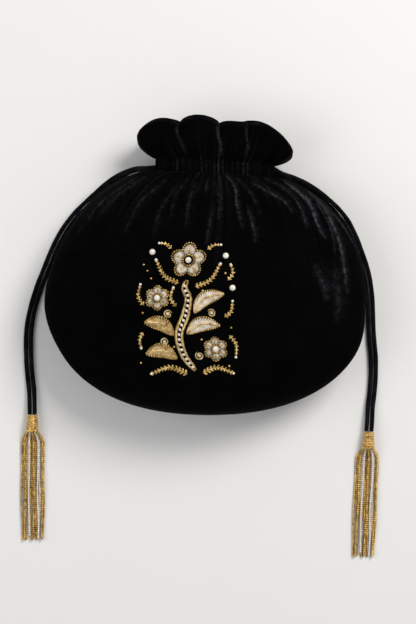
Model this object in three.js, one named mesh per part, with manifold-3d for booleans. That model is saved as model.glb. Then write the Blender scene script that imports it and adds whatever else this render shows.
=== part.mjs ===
import * as THREE from "three";
import { ParametricGeometry } from "three/addons/geometries/ParametricGeometry.js";
import { mergeVertices } from "three/addons/utils/BufferGeometryUtils.js";
import Module from "manifold-3d";

// A stuffed two-panel velvet potli lying on its back, in mm: X right, Y toward the neck, Z up.
// The origin is on the floor, at the middle of the flat the back rests on.
const CLEARANCE = 0.3; // gap between neighbouring pieces
const WELD = 1e-3; // points closer than this are one point

const VELVET = 1.4; // panel cloth
const RUFFLE_WALL = 3.2; // velvet turned over on itself above the casing
const LINING = 0.8; // satin
const LINING_EASE = 1.2; // lining hangs this far inside the velvet

const BODY_WIDTH = 224.8;
const BODY_LOWER = 80.5; // widest line down to the bottom seam
const BODY_UPPER = 88.5; // widest line up to the casing
const LOWER_POWER = 2.27; // fullness of the outline below the widest line
const UPPER_POWER = 1.8; // fullness of the shoulders
const BODY_THICKNESS = 82; // floor to the top of the front
const SEAM_HEIGHT = 36; // side seam above the floor
const FRONT_CROWN = BODY_THICKNESS - SEAM_HEIGHT; // front panel above the seam
const BACK_DEPTH = 44; // back panel below the seam before the floor flattens it
const BODY_ROUND = 1.3; // section across the body: low is boxy, high is peaked
const NECK_ROUND = 0.55;
const SWELL = 0.9; // how full the stuffing stays toward bottom and neck

const NECK_WIDTH = 84;
const NECK_THICKNESS = 26;
const NECK_CENTRE = 27; // casing height above the floor
const NECK_BAND = 8.5; // casing, along Y
const NECK_LEAN = 0.0612; // the neck leans to the right, tangent of the angle
const NECK_SHIFT = 7.3;
const LEAN_START = -10;
const BOTTOM_SHIFT = 3; // the bottom hangs to the right too

const RUFFLE_HEIGHT = 29.5;
const RUFFLE_WIDTH = 110;
const RUFFLE_HALF = 24; // puffed half thickness
const RUFFLE_WIDEST = 0.8; // share of the height where it is widest
const FLARE_POWER = 0.8; // how soon it opens above the casing
const RUFFLE_CURL = 0.08; // share of the flare lost again at the edge
const LEFT_END = { drop: 9, width: 0.35 }; // edge rounds down to the side seams
const RIGHT_END = { drop: 15, width: 0.5 };
const RUFFLE_VALLEY = 0.4; // share of the puff lost in the valleys
const FRONT_VALLEYS = [0, 0.348, 0.519, 0.638, 1];
const FRONT_DIPS = [2.8, 5.6, 4.6, 1.4, 1.2]; // edge lower in each valley
const FRONT_CRESTS = [2.8, 0, 2.9, 1.2]; // and on each crest
const BACK_VALLEYS = [0, 0.3, 0.46, 0.65, 1];
const BACK_DIPS = [2.8, 9, 9, 9, 1.2];
const BACK_CRESTS = [7.5, 7, 7, 7];

// Gathers: place across the panel, sideways drift, half width, rise, reach below the casing.
const FRONT_FOLDS = [
  [0.13, -0.02, 0.035, 3.2, 46],
  [0.24, -0.02, 0.03, 2.4, 34],
  [0.36, -0.01, 0.028, 2, 30],
  [0.47, 0.02, 0.026, 2.2, 36],
  [0.56, 0.03, 0.026, 2.4, 42],
  [0.66, 0.02, 0.028, 2.2, 34],
  [0.76, 0.03, 0.03, 2.8, 50],
  [0.85, 0.03, 0.03, 3.6, 66],
  [0.93, 0.015, 0.024, 3, 80],
];
const BACK_FOLDS = [
  [0.16, -0.02, 0.045, 2.6, 40],
  [0.34, -0.01, 0.04, 2.2, 32],
  [0.52, 0.01, 0.04, 2.4, 34],
  [0.7, 0.02, 0.04, 2.2, 34],
  [0.86, 0.02, 0.045, 2.8, 46],
];

const CORD = 3.2; // velvet tube drawstring
const LANE = 1.9; // each cord runs this far off the casing's middle
const PAIR = 1.75; // the two strands of a cord leave the slot this far off its middle
const SLOT_REACH = 9; // slot through the side seam, along X
const SLOT_WIDTH = 5.2;
const SLOT_LENGTH = 9.8;
const CORD_STEPS = 88;
const CORD_SIDES = 8;
const LINING_NECK_WIDTH = 58;

const HEAD_LENGTH = 12.4;
const HEAD_TOP = 7.4;
const HEAD_BASE = 9.8;
const HEAD_TURNS = 7; // wound rows
const HEAD_GROOVE = 0.35;
const HEAD_LIFT = 4.95; // axis above the floor
const LEFT_HEADING = 0; // each tassel's turn from straight down the bag, in radians
const RIGHT_HEADING = -0.045;
const STRAND = 1.45;
const STRAND_LENGTH = 78;
const STRAND_PITCH = 1.6; // across the skirt, on the floor
const STRAND_SPREAD = 7; // from the head to where the skirt lies flat
const LAYER = 1.4; // between layers of strands under the head
const STRAND_SIDES = 6;

const MOTIF_X = -13.2;
const MOTIF_Y = -7;
const THREAD_RISE = 1.4; // couched gold work above the velvet
const PEARL = 4.2;
const STEM_WIDTH = 4.6;
const LEAF_WIDTH = 10;
const SPRIG_WIDTH = 4.2;
const SCROLL_WIDTH = 4.8; // sprigs at the foot
const BLOOM = 25;
const ROSETTE = 17;

const smooth = (from, to, value) => THREE.MathUtils.smoothstep(value, from, to);
const mix = THREE.MathUtils.lerp;

// Half width, half thickness, corner shape and position up the ruffle at one height on the bag.
function station(y, depth, inset) {
  const neckHalf = NECK_WIDTH / 2 - inset;
  const neckThick = NECK_THICKNESS / 2 - inset;
  const round = mix(BODY_ROUND, NECK_ROUND, smooth(BODY_UPPER / 2, BODY_UPPER, y));
  if (y < 0) {
    const down = Math.min(-y / (BODY_LOWER - inset), 1);
    const full = (1 - down ** LOWER_POWER) ** (1 / LOWER_POWER);
    const half = (BODY_WIDTH / 2 - inset) * full;
    return { half, thick: (depth - inset) * full ** SWELL, round, up: 0 };
  }
  const shoulder = BODY_UPPER - inset;
  if (y < shoulder) {
    const rise = y / shoulder;
    const taper = (1 - rise ** UPPER_POWER) ** (1 / UPPER_POWER);
    const half = neckHalf + ((BODY_WIDTH - NECK_WIDTH) / 2) * taper;
    const thick = neckThick + (depth - NECK_THICKNESS / 2) * taper ** SWELL;
    return { half, thick, round, up: 0 };
  }
  const up = Math.max(0, (y - BODY_UPPER - NECK_BAND) / RUFFLE_HEIGHT);
  const flare = Math.sin((Math.PI / 2) * Math.min(up / RUFFLE_WIDEST, 1)) ** FLARE_POWER;
  const curl = Math.max(0, (up - RUFFLE_WIDEST) / (1 - RUFFLE_WIDEST)) ** 2;
  const open = flare * (1 - RUFFLE_CURL * curl);
  const half = neckHalf + ((RUFFLE_WIDTH - NECK_WIDTH) / 2) * open;
  const thick = neckThick + (RUFFLE_HALF - NECK_THICKNESS / 2) * open;
  return { half, thick, round, up };
}

const seamHeight = (y) => mix(SEAM_HEIGHT, NECK_CENTRE, smooth(LEAN_START, BODY_UPPER, y));

// Rounded lobes of the ruffle between its valleys: 0 in a valley, 1 on a crest.
function lobe({ valleys, dips, crests }, s) {
  const next = Math.max(1, valleys.findIndex((place) => place >= s));
  const share = (s - valleys[next - 1]) / (valleys[next] - valleys[next - 1]);
  const puff = Math.sqrt(Math.max(0, Math.sin(Math.PI * share)));
  return { puff, dip: mix(dips[next - 1], dips[next], share), crest: crests[next - 1] };
}

// How far the ruffle's edge lies below its highest line.
function edgeDrop(panel, s) {
  const { puff, dip, crest } = lobe(panel, s);
  const end = s < 0.5 ? LEFT_END : RIGHT_END;
  const near = Math.max(0, (Math.abs(Math.cos(Math.PI * s)) - 1 + end.width) / end.width);
  return mix(dip, crest, puff) + end.drop * near ** 2;
}

// Gathers run down from the casing, standing out from the panel and fading toward the body.
function gather(folds, s, y) {
  const below = Math.max(0, BODY_UPPER - y);
  let rise = 0;
  for (const [place, drift, width, height, reach] of folds) {
    const along = Math.min(below / reach, 1);
    const off = (s - place - drift * along) / width;
    rise += height * Math.exp(-off * off) * (1 - along) ** 2;
  }
  return rise * Math.sin(Math.PI * s) * (1 - smooth(BODY_UPPER, BODY_UPPER + NECK_BAND, y));
}

function lean(x, y, z, target) {
  const share = smooth(LEAN_START, BODY_UPPER, y);
  const shift = NECK_SHIFT * share + BOTTOM_SHIFT * smooth(0, BODY_LOWER / 2, -y);
  return target.set(x + shift, y - NECK_LEAN * x * share, z);
}

const FRONT = {
  way: 1,
  depth: FRONT_CROWN,
  valleys: FRONT_VALLEYS,
  dips: FRONT_DIPS,
  crests: FRONT_CRESTS,
  folds: FRONT_FOLDS,
};
const BACK = {
  way: -1,
  depth: BACK_DEPTH,
  valleys: BACK_VALLEYS,
  dips: BACK_DIPS,
  crests: BACK_CRESTS,
  folds: BACK_FOLDS,
};

// Height of a panel's face; the floor flattens the back.
function faceHeight(panel, s, y, inset) {
  const at = station(y, panel.depth, inset);
  const puff = 1 - RUFFLE_VALLEY * at.up * (1 - lobe(panel, s).puff);
  const bulge = at.thick * puff * Math.sin(Math.PI * s) ** at.round;
  const off = CLEARANCE / 2 + bulge + gather(panel.folds, s, y);
  return Math.max(seamHeight(y) + panel.way * off, inset);
}

function facePoint(panel, s, y, inset, target) {
  const at = station(y, panel.depth, inset);
  const x = -at.half * Math.cos(Math.PI * s);
  return lean(x, y - at.up * edgeDrop(panel, s), faceHeight(panel, s, y, inset), target);
}

// A closed solid from a grid of points: equal points are welded and empty triangles dropped.
function gridSolid(point, columns, rows) {
  const onGrid = (u, v, target) => point(Math.round(u * columns), Math.round(v * rows), target);
  const sheet = new ParametricGeometry(onGrid, columns, rows);
  sheet.deleteAttribute("normal");
  sheet.deleteAttribute("uv");
  const welded = mergeVertices(sheet, WELD);
  const corners = welded.index.array;
  const place = welded.attributes.position;
  const [p, q, r] = [new THREE.Vector3(), new THREE.Vector3(), new THREE.Vector3()];
  const kept = [];
  let volume = 0;
  for (let i = 0; i < corners.length; i += 3) {
    const [a, b, c] = corners.slice(i, i + 3);
    if (a !== b && b !== c && c !== a) {
      kept.push([a, b, c]);
      p.fromBufferAttribute(place, a);
      q.fromBufferAttribute(place, b);
      r.fromBufferAttribute(place, c);
      volume += p.dot(q.cross(r));
    }
  }
  const outward = volume > 0 ? kept : kept.map(([a, b, c]) => [a, c, b]);
  welded.setIndex(outward.flat());
  return welded;
}

const wasm = await Module();
wasm.setup();

function toSolid(geometry) {
  const bare = geometry.clone();
  bare.deleteAttribute("normal");
  bare.deleteAttribute("uv");
  const welded = mergeVertices(bare, WELD);
  const vertProperties = new Float32Array(welded.attributes.position.array);
  const triVerts = new Uint32Array(welded.index.array);
  return new wasm.Manifold(new wasm.Mesh({ numProp: 3, vertProperties, triVerts }));
}

function toGeometry(solid) {
  const mesh = solid.getMesh();
  return new THREE.BufferGeometry()
    .setAttribute("position", new THREE.BufferAttribute(mesh.vertProperties, 3))
    .setIndex(new THREE.BufferAttribute(mesh.triVerts, 1));
}

const potli = new THREE.Group();
const velvet = () => new THREE.MeshStandardMaterial({ color: 0x0b0b0d, roughness: 0.95 });
const satin = () => new THREE.MeshStandardMaterial({ color: 0x17161a, roughness: 0.5 });
const gold = () =>
  new THREE.MeshStandardMaterial({ color: 0xb98f3f, metalness: 0.9, roughness: 0.35 });
const champagne = () =>
  new THREE.MeshStandardMaterial({ color: 0xd9c39a, metalness: 0.4, roughness: 0.4 });
const white = () => new THREE.MeshStandardMaterial({ color: 0xf1ece2, roughness: 0.3 });

function add(name, geometry, material) {
  geometry.computeVertexNormals();
  const mesh = new THREE.Mesh(geometry, material);
  mesh.name = name;
  potli.add(mesh);
}

// Heights of the grid rows of a panel, bottom to ruffle edge, for one face of the cloth.
function panelRows(lower, upper, band, ruffle, inset) {
  const rows = [];
  for (let i = 0; i < lower; i++) {
    rows.push(-(BODY_LOWER - inset) * Math.cos((Math.PI / 2) * (i / lower)));
  }
  for (let i = 0; i < upper; i++) {
    rows.push((BODY_UPPER - inset) * Math.sin((Math.PI / 2) * (i / upper)));
  }
  const shoulder = BODY_UPPER - inset;
  for (let i = 0; i < band; i++) {
    rows.push(mix(shoulder, BODY_UPPER + NECK_BAND, i / band));
  }
  for (let i = 0; i <= ruffle; i++) {
    rows.push(BODY_UPPER + NECK_BAND + RUFFLE_HEIGHT * Math.sin((Math.PI / 2) * (i / ruffle)));
  }
  return rows;
}

// One panel: outer face, side rim, inner face, and a closed ruffle edge.
function panelSolid(panel, columns, lower, upper, band, ruffle) {
  const outer = panelRows(lower, upper, band, ruffle, 0);
  const inner = panelRows(lower, upper, band, ruffle, VELVET);
  const last = outer.length - 1;
  const wall = (y) => mix(VELVET, RUFFLE_WALL, smooth(0, RUFFLE_HEIGHT / 4, y - BODY_UPPER - NECK_BAND));
  const point = (i, row, target) => {
    const k = i % (2 * columns + 2);
    const outside = k <= columns;
    const s = outside ? k / columns : (2 * columns + 1 - k) / columns;
    const y = outside ? outer[row] : inner[row];
    const inset = outside ? 0 : wall(y);
    const edge = row === last ? RUFFLE_WALL / 2 : inset;
    return facePoint(panel, s, y, edge, target);
  };
  return gridSolid(point, 2 * columns + 2, last);
}

const bandMiddle = BODY_UPPER + NECK_BAND / 2;

// Slot through the side seam where both ends of one drawstring come out of the casing.
function slotSolid(side) {
  const x = side * (NECK_WIDTH / 2);
  const y = bandMiddle + side * LANE;
  const at = lean(x, y, NECK_CENTRE, new THREE.Vector3());
  const box = new THREE.BoxGeometry(SLOT_REACH, SLOT_WIDTH, SLOT_LENGTH);
  return toSolid(box.translate(at.x, at.y, at.z));
}

const slots = slotSolid(-1).add(slotSolid(1));
const frontSolid = toSolid(panelSolid(FRONT, 36, 7, 9, 2, 5)).subtract(slots);
const backSolid = toSolid(panelSolid(BACK, 24, 6, 7, 2, 4)).subtract(slots);
add("front_panel", toGeometry(frontSolid), velvet());
add("back_panel", toGeometry(backSolid), velvet());

// Satin lining: a hollow bag inside the velvet, drawn in at the casing to leave the cords' way.
const LINING_COLUMNS = 11;
const LINING_TOP = BODY_UPPER + NECK_BAND + RUFFLE_HEIGHT / 3;
const BODY_INSET = VELVET + LINING_EASE;
const NECK_INSET = VELVET + CORD + 3 * CLEARANCE;
const TOP_INSET = RUFFLE_WALL + CLEARANCE;

function liningPoint(s, panel, y, wall, target) {
  const rising = smooth(BODY_UPPER * 0.6, BODY_UPPER - NECK_INSET, y);
  const opening = smooth(BODY_UPPER + NECK_BAND, LINING_TOP, y);
  const inset = mix(mix(BODY_INSET, NECK_INSET, rising), TOP_INSET, opening) + wall;
  const at = station(y, panel.depth, inset);
  const narrow = (NECK_WIDTH - LINING_NECK_WIDTH) / 2 - NECK_INSET;
  const half = at.half - narrow * rising * (1 - opening);
  const bulge = at.thick * Math.sin(Math.PI * s) ** at.round;
  const puffed = bulge * (1 - RUFFLE_VALLEY * at.up);
  const z = Math.max(seamHeight(y) + panel.way * puffed, inset);
  return lean(-half * Math.cos(Math.PI * s), y, z, target);
}

function liningSolid() {
  const heights = (wall) => {
    const inset = BODY_INSET + wall;
    const list = [];
    for (let i = 0; i < 6; i++) {
      list.push(-(BODY_LOWER - inset) * Math.cos((Math.PI / 2) * (i / 6)));
    }
    const shoulder = BODY_UPPER - NECK_INSET - wall;
    for (let i = 0; i < 6; i++) {
      list.push(shoulder * Math.sin((Math.PI / 2) * (i / 6)));
    }
    list.push(shoulder, BODY_UPPER, BODY_UPPER + NECK_BAND, mix(BODY_UPPER + NECK_BAND, LINING_TOP, 0.5));
    return [...list, LINING_TOP];
  };
  const outer = heights(0);
  const inner = heights(LINING).reverse();
  const rows = [...outer.map((y) => [y, 0]), ...inner.map((y) => [y, LINING])];
  const around = 2 * LINING_COLUMNS;
  const point = (i, row, target) => {
    const k = i % around;
    const front = k <= LINING_COLUMNS;
    const s = front ? k / LINING_COLUMNS : (around - k) / LINING_COLUMNS;
    return liningPoint(s, front ? FRONT : BACK, ...rows[row], target);
  };
  return gridSolid(point, around, rows.length - 1);
}
add("lining", liningSolid(), satin());

// Drawstrings: one cord each, from the tassel up to the slot, round the casing and back.
// Free routes run from the slot down to the tassel head.
const LEFT_UPPER = [
  [-40.4, 92.9, 28.8], [-48.2, 92.6, 28.2], [-56.6, 90, 26.4], [-64.8, 85.9, 23.2], [-71.6, 81.2, 19],
  [-83.2, 71.6, 10.8], [-94.6, 60.9, 4.6], [-103.4, 49.1, 2.2], [-109.6, 37, 1.8], [-115.5, 22.8, 1.7],
  [-121.2, 8, 1.7], [-125.8, -8, 1.7], [-128, -21.2, 1.7], [-128.4, -35.7, 1.7], [-127.7, -50.1, 1.7],
  [-126.1, -64.4, 2.4], [-125.5, -75.2, 4.2], [-125.35, -81.7, 4.95],
];
const LEFT_LOWER = [
  [-40.2, 92.2, 25.2], [-47.6, 91.8, 24.9], [-56, 88.9, 23], [-63.9, 84.7, 19.8], [-70.2, 79.7, 15.8],
  [-81.2, 69.3, 8.2], [-92.4, 58.6, 3], [-100.6, 47, 1.8], [-106.4, 35.5, 1.7], [-111.9, 22.2, 1.7],
  [-117.4, 8.5, 1.7], [-122, -6.6, 1.7], [-124.4, -20.5, 1.7], [-124.8, -35, 1.7], [-124.1, -49.4, 1.7],
  [-122.5, -63.7, 2.4], [-121.95, -75.2, 4.2], [-121.85, -81.7, 4.95],
];
const RIGHT_UPPER = [
  [54.9, 88.9, 28.5], [65.6, 85.4, 25.4], [76.8, 80, 18.8], [86.5, 73.5, 12.2], [95.1, 66.2, 6.8],
  [103.1, 56.8, 2.8], [109, 45.3, 1.8], [113.6, 32.9, 1.7], [117.6, 20.6, 1.7], [119.9, 7.4, 1.7],
  [120.8, -5.5, 1.7], [121.2, -17.7, 1.7], [121.8, -28.5, 1.7], [122.8, -39.3, 1.7], [123, -51.5, 1.7],
  [122.2, -64.4, 1.7], [120.7, -76.4, 2.6], [120, -87.4, 4.3], [119.45, -94, 4.95],
];
const RIGHT_LOWER = [
  [54.7, 87.8, 25.2], [65, 83.8, 21.8], [75.6, 78.3, 15.4], [84.7, 71.6, 9.2], [92.9, 64, 4.2],
  [100.5, 54.6, 1.8], [106.1, 43.6, 1.7], [110.3, 31.8, 1.7], [114.1, 19.7, 1.7], [116.3, 6.9, 1.7],
  [117.2, -5.5, 1.7], [117.6, -17.7, 1.7], [118.2, -28.5, 1.7], [119.2, -39.3, 1.7], [119.4, -51.5, 1.7],
  [118.6, -64.4, 1.7], [117.2, -76.4, 2.6], [116.5, -87.2, 4.3], [115.95, -93.8, 4.95],
];
// Round the casing from its own slot: along X from the neck's middle, then off its middle height.
const CASING = [
  [-41, PAIR], [-36, 3.1], [-31, 6.1], [-25, 8.3], [-14, 9.2], [0, 9.5], [14, 9.2], [25, 8.2], [33, 6.6],
  [37, 4.6], [38.4, 0], [37, -4.6], [33, -6.6], [25, -8.2], [14, -9.2], [0, -9.5], [-14, -9.2], [-25, -8.3],
  [-31, -6.1], [-36, -3.1], [-41, -PAIR],
];

function cordSolid(side, upper, lower) {
  const free = (list) => list.map((place) => new THREE.Vector3(...place));
  const turn = CASING.map(([along, off]) =>
    lean(-side * along, bandMiddle + side * LANE, NECK_CENTRE + off, new THREE.Vector3()),
  );
  const route = [...free(upper).reverse(), ...turn, ...free(lower)];
  const path = new THREE.CatmullRomCurve3(route, false, "centripetal");
  const ring = new THREE.Shape();
  for (let i = 0; i < CORD_SIDES; i++) {
    const angle = (2 * Math.PI * i) / CORD_SIDES;
    const spot = [(CORD / 2) * Math.cos(angle), (CORD / 2) * Math.sin(angle)];
    if (i === 0) ring.moveTo(...spot);
    else ring.lineTo(...spot);
  }
  ring.closePath();
  return new THREE.ExtrudeGeometry(ring, { steps: CORD_STEPS, extrudePath: path, curveSegments: 1 });
}
add("left_drawstring", cordSolid(-1, LEFT_UPPER, LEFT_LOWER), velvet());
add("right_drawstring", cordSolid(1, RIGHT_UPPER, RIGHT_LOWER), velvet());

// Tassels: a wound head and a skirt of bead strands, laid along the floor.
// Each head hangs just under the two ends of its cord.
function tasselUnder(name, upper, lower, heading) {
  const [a, b] = [upper.at(-1), lower.at(-1)];
  return { name, x: (a[0] + b[0]) / 2, y: (a[1] + b[1]) / 2 - CLEARANCE, heading };
}
const TASSELS = [
  tasselUnder("left", LEFT_UPPER, LEFT_LOWER, LEFT_HEADING),
  tasselUnder("right", RIGHT_UPPER, RIGHT_LOWER, RIGHT_HEADING),
];
// White strands, by place in the skirt.
const WHITE_STRANDS = [3, 8, 12, 14];

function headSolid() {
  const profile = [new THREE.Vector2(0, 0)];
  const rows = 2 * HEAD_TURNS;
  for (let i = 0; i <= rows; i++) {
    const share = i / rows;
    const groove = i % 2 === 0 ? HEAD_GROOVE : 0;
    profile.push(new THREE.Vector2(mix(HEAD_BASE, HEAD_TOP, share) / 2 - groove, HEAD_LENGTH * share));
  }
  profile.push(new THREE.Vector2(0, HEAD_LENGTH));
  return new THREE.LatheGeometry(profile, 12).translate(0, -HEAD_LENGTH, 0);
}

// Across and up, at a share of the way from the head to where the strands lie flat.
function strandPlace(index, share) {
  const half = 5;
  const floor = STRAND / 2 + CLEARANCE / 2;
  const low = mix(HEAD_LIFT - LAYER, floor, smooth(0, 1, share));
  const step = mix(STRAND / 2 + CLEARANCE / 8, STRAND_PITCH, share);
  const drop = LAYER * (1 - share * share);
  if (index <= 2 * half) {
    const place = index - half;
    const middle = Math.abs(place) % 2 === 1;
    return [place * step, middle ? low + drop : low];
  }
  const place = 2 * (index - 2 * half - 3);
  return [place * step + (STRAND_PITCH / 2) * share, low + drop + LAYER];
}

const SKIRT_STOPS = [0, 0.35, 0.7, 1];
const STRAND_TRIM = [0, 1.6, 0.4, 2.4, 0.9, 0, 1.9, 0.6, 2.1, 0.3, 1.2, 0.7, 2.6, 0.2, 1.5, 1];

function strandSolid(tassel, index) {
  const stops = SKIRT_STOPS.map((share) => [share * share * STRAND_SPREAD, share]);
  const end = STRAND_LENGTH - STRAND_TRIM[index];
  const sections = [...stops, [end, 1]];
  const rings = [sections[0], ...sections, sections.at(-1)];
  const point = (i, row, target) => {
    const [along, share] = rings[row];
    const angle = (2 * Math.PI * (i % STRAND_SIDES)) / STRAND_SIDES;
    const radius = row === 0 || row === rings.length - 1 ? 0 : STRAND / 2;
    const [across, up] = strandPlace(index, share);
    const down = HEAD_LENGTH + CLEARANCE + along;
    const side = across + radius * Math.cos(angle);
    const x = tassel.x + side * Math.cos(tassel.heading) + down * Math.sin(tassel.heading);
    const y = tassel.y + side * Math.sin(tassel.heading) - down * Math.cos(tassel.heading);
    return target.set(x, y, up + radius * Math.sin(angle));
  };
  return gridSolid(point, STRAND_SIDES, rings.length - 1);
}

for (const tassel of TASSELS) {
  const head = headSolid().rotateZ(tassel.heading).translate(tassel.x, tassel.y, HEAD_LIFT);
  add(`${tassel.name}_tassel_head`, head, gold());
  STRAND_TRIM.forEach((trim, index) => {
    const colour = WHITE_STRANDS.includes(index) ? white() : gold();
    add(`${tassel.name}_strand_${index + 1}`, strandSolid(tassel, index), colour);
  });
}

// Embroidery: a flowering sprig couched on the front panel, placed from its own middle.
function onFront(x, y, rise, target) {
  const [px, py] = [MOTIF_X + x, MOTIF_Y + y];
  const at = station(py, FRONT_CROWN, 0);
  const s = Math.acos(-px / at.half) / Math.PI;
  return lean(px, py, faceHeight(FRONT, s, py, 0) + CLEARANCE + rise, target);
}

// A padded band along a line of points, tapering to both ends.
function bandSolid(points, width, steps, blunt) {
  const path = new THREE.CatmullRomCurve3(points.map(([x, y]) => new THREE.Vector3(x, y, 0)));
  const profile = [[-1, 0], [-0.6, 0.8], [0, 1], [0.6, 0.8], [1, 0], [0, 0]];
  const point = (i, row, target) => {
    const share = row / steps;
    const at = path.getPoint(share);
    const way = path.getTangent(share);
    const full = Math.sin(Math.PI * share) ** blunt;
    const [across, rise] = profile[i % profile.length];
    const off = (across * width * full) / 2;
    return onFront(at.x - way.y * off, at.y + way.x * off, rise * THREAD_RISE * full, target);
  };
  return gridSolid(point, profile.length, steps);
}

// A flower of rounded petals, domed toward a flat eye.
function flowerSolid(x, y, size, petals, depth) {
  const around = 6 * petals;
  const rings = [[0, 0], [1, 0], [1, 0.3], [0.75, 1], [0.4, 0.7], [0, 0.6]];
  const point = (i, row, target) => {
    const angle = (2 * Math.PI * (i % around)) / around;
    const [share, rise] = rings[row];
    const edge = 1 - depth * (1 - Math.abs(Math.cos((petals * angle) / 2)));
    const reach = (size / 2) * share * (share > 0.5 ? edge : 1);
    return onFront(x + reach * Math.sin(angle), y + reach * Math.cos(angle), rise * THREAD_RISE, target);
  };
  return gridSolid(point, around, rings.length - 1);
}

function pearlSolid(x, y, size, rise) {
  const at = onFront(x, y, rise + size / 2, new THREE.Vector3());
  return new THREE.SphereGeometry(size / 2, 10, 7).translate(at.x, at.y, at.z);
}

const STEM = [[4, -41], [-4, -30], [-6, -17], [0, -3], [2, 8], [-1, 15], [0.5, 20]];
const LEAVES = [
  [[-9.5, -17], [-17, -9.5], [-28.5, -8.5]],
  [[6, -2], [13, 7.5], [26, 11]],
  [[-8.5, -33], [-18, -27.5], [-29.5, -30]],
  [[-0.5, -16], [10, -9.5], [22.5, -10.5]],
];
const SPRIGS = [
  [[-5, 18], [-15, 22.5], [-22, 33.5], SPRIG_WIDTH],
  [[6, 15.5], [16.5, 20.5], [22, 31.5], SPRIG_WIDTH],
  [[-1, -43.5], [-13, -39], [-26, -43.5], SCROLL_WIDTH],
  [[9, -43], [18.5, -39], [30, -43], SCROLL_WIDTH],
];
const FLOWERS = [
  { name: "bloom", x: 0, y: 33.5, size: BLOOM, petals: 5, depth: 0.34 },
  { name: "left_rosette", x: -19, y: 8, size: ROSETTE, petals: 6, depth: 0.26 },
  { name: "right_rosette", x: 18, y: -26.5, size: ROSETTE, petals: 6, depth: 0.26 },
];
const LOOSE_PEARLS = [[-25, 38.5], [25, 37], [31.5, 15]];

add("stem", bandSolid(STEM, STEM_WIDTH, 12, 0.3), gold());
LEAVES.forEach((points, i) => {
  add(`leaf_${i + 1}`, bandSolid(points, LEAF_WIDTH, 6, 0.8), i % 2 ? champagne() : gold());
});
SPRIGS.forEach(([from, bend, to, width], i) => {
  add(`sprig_${i + 1}`, bandSolid([from, bend, to], width, 6, 0.6), gold());
});
FLOWERS.forEach(({ name, x, y, size, petals, depth }) => {
  add(name, flowerSolid(x, y, size, petals, depth), champagne());
  add(`${name}_pearl`, pearlSolid(x, y, PEARL, THREAD_RISE + CLEARANCE), white());
});
LOOSE_PEARLS.forEach(([x, y], i) => {
  add(`pearl_${i + 1}`, pearlSolid(x, y, PEARL, 0), white());
});

export default potli;
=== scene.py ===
import math
import bmesh
import bpy
import numpy as np
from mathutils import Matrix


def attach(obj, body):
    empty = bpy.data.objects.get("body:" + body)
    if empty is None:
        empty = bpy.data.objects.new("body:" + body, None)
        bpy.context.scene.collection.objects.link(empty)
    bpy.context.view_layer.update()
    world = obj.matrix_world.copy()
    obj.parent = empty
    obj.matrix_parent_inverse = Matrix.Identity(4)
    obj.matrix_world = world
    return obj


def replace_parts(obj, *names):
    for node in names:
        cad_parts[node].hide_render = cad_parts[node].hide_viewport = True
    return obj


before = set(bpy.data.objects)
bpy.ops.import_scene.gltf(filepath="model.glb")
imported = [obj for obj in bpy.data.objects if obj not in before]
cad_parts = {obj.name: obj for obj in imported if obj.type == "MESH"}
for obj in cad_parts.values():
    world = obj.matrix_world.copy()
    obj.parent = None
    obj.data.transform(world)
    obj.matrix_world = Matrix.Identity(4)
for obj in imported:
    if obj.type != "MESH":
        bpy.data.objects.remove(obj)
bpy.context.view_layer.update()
scene = bpy.context.scene
mm = 0.001
print("frame loaded:", len(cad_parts), "nodes")


# small helpers

def smoothStep(a, b, x):  # 0 below a, 1 above b, an S curve between
    t = np.clip((x - a) / (b - a), 0, 1)
    return t * t * (3 - 2 * t)


def mix(a, b, t):
    return a + (b - a) * t


def unit(v):
    return v / np.maximum(np.linalg.norm(v, axis=-1, keepdims=True), 1e-12)


def gridQuads(rows, cols, wrap=False):  # quads of a rows x cols grid, wrapped across if asked
    r = np.arange(rows - 1)[:, None]
    c = np.arange(cols if wrap else cols - 1)[None, :]
    n = (c + 1) % cols
    return np.stack([r * cols + c, r * cols + n, (r + 1) * cols + n, (r + 1) * cols + c], -1).reshape(-1, 4)


# one mesh of several parts, each given as points, faces, material number and uv, with a painted highlight per
# point if given
def buildPiece(name, parts, materials, weld=0.0, paintedSheen=None):
    points, loops, starts, finish, uvs, used, total = [], [], [], [], [], 0, 0
    for verts, faces, number, uv in parts:
        verts = np.asarray(verts, float).reshape(-1, 3)
        faces = np.asarray(faces)
        points.append(verts)
        loops.append((faces + used).ravel())
        starts.append(total + np.arange(len(faces)) * faces.shape[1])
        finish.append(np.full(len(faces), number))
        flat = np.zeros((len(verts), 2)) if uv is None else np.asarray(uv, float).reshape(-1, 2)
        uvs.append(flat[faces.ravel()])
        used += len(verts)
        total += faces.size
    mesh = bpy.data.meshes.new(name)
    points = np.concatenate(points) * mm
    loops = np.concatenate(loops)
    starts = np.concatenate(starts)
    mesh.vertices.add(len(points))
    mesh.vertices.foreach_set("co", points.ravel())
    mesh.loops.add(len(loops))
    mesh.loops.foreach_set("vertex_index", loops.astype(np.int32))
    mesh.polygons.add(len(starts))
    mesh.polygons.foreach_set("loop_start", starts.astype(np.int32))
    mesh.polygons.foreach_set("material_index", np.concatenate(finish).astype(np.int32))
    mesh.update(calc_edges=True)
    layer = mesh.uv_layers.new(name="along")
    layer.data.foreach_set("uv", np.concatenate(uvs).ravel())
    # a point attribute of painted highlight, which the cloth material lightens its colour with
    if paintedSheen is not None:
        sheenPaint = mesh.attributes.new("paintedSheen", "FLOAT", "POINT")
        sheenPaint.data.foreach_set("value", np.asarray(paintedSheen, float).ravel())
    if weld:
        work = bmesh.new()
        work.from_mesh(mesh)
        bmesh.ops.remove_doubles(work, verts=work.verts, dist=weld * mm)
        bmesh.ops.dissolve_degenerate(work, edges=work.edges, dist=weld * mm)
        work.to_mesh(mesh)
        work.free()
    mesh.shade_smooth()
    for material in materials:
        mesh.materials.append(material)
    piece = bpy.data.objects.new(name, mesh)
    scene.collection.objects.link(piece)
    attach(piece, "root")
    return piece


def lineGone(line):  # length gone at each point of a line
    return np.concatenate([[0], np.cumsum(np.linalg.norm(np.diff(line, axis=0), axis=1))])


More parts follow.
